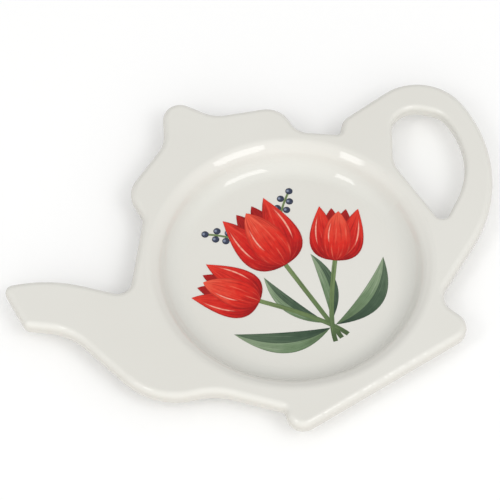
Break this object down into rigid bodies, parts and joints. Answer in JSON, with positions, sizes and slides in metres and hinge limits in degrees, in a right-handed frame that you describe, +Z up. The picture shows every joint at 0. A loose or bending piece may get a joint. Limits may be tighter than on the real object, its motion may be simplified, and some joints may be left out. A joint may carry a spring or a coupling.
{
  "type": "tea bag rest",
  "caption": "Shallow glazed china dish in the outline of a teapot, with a round well for used tea bags, a flat rim, an open handle, a foot ring and a flower print.",
  "frame": {"origin": "middle of the part's box, at the level of the foot ring's standing face", "axes": "+X from the spout to the handle, +Y from the pot's base to its lid, +Z up out of the well"},
  "size_m": [0.1654, 0.1246, 0.0128],
  "materials": {
    "china": "matt bisque",
    "glaze": "gloss",
    "enamel_glints": "gloss pale pink enamel",
    "enamel_petal_fronts": "gloss bright red enamel",
    "enamel_petal_sides": "gloss red enamel",
    "enamel_petal_backs": "gloss deep red enamel",
    "enamel_berries": "gloss navy enamel",
    "enamel_stems": "gloss mid green enamel",
    "enamel_leaf_lights": "gloss grey-green enamel",
    "enamel_leaf_darks": "gloss dark green enamel"
  },
  "bodies": {
    "root": {"china_body": "china", "glaze_coat": "glaze", "glaze_recess": "glaze", "print_glints": "enamel_glints", "print_petal_fronts": "enamel_petal_fronts", "print_petal_sides": "enamel_petal_sides", "print_petal_backs": "enamel_petal_backs", "print_berries": "enamel_berries", "print_stems": "enamel_stems", "print_leaf_lights": "enamel_leaf_lights", "print_leaf_darks": "enamel_leaf_darks"}
  },
  "joints": []
}
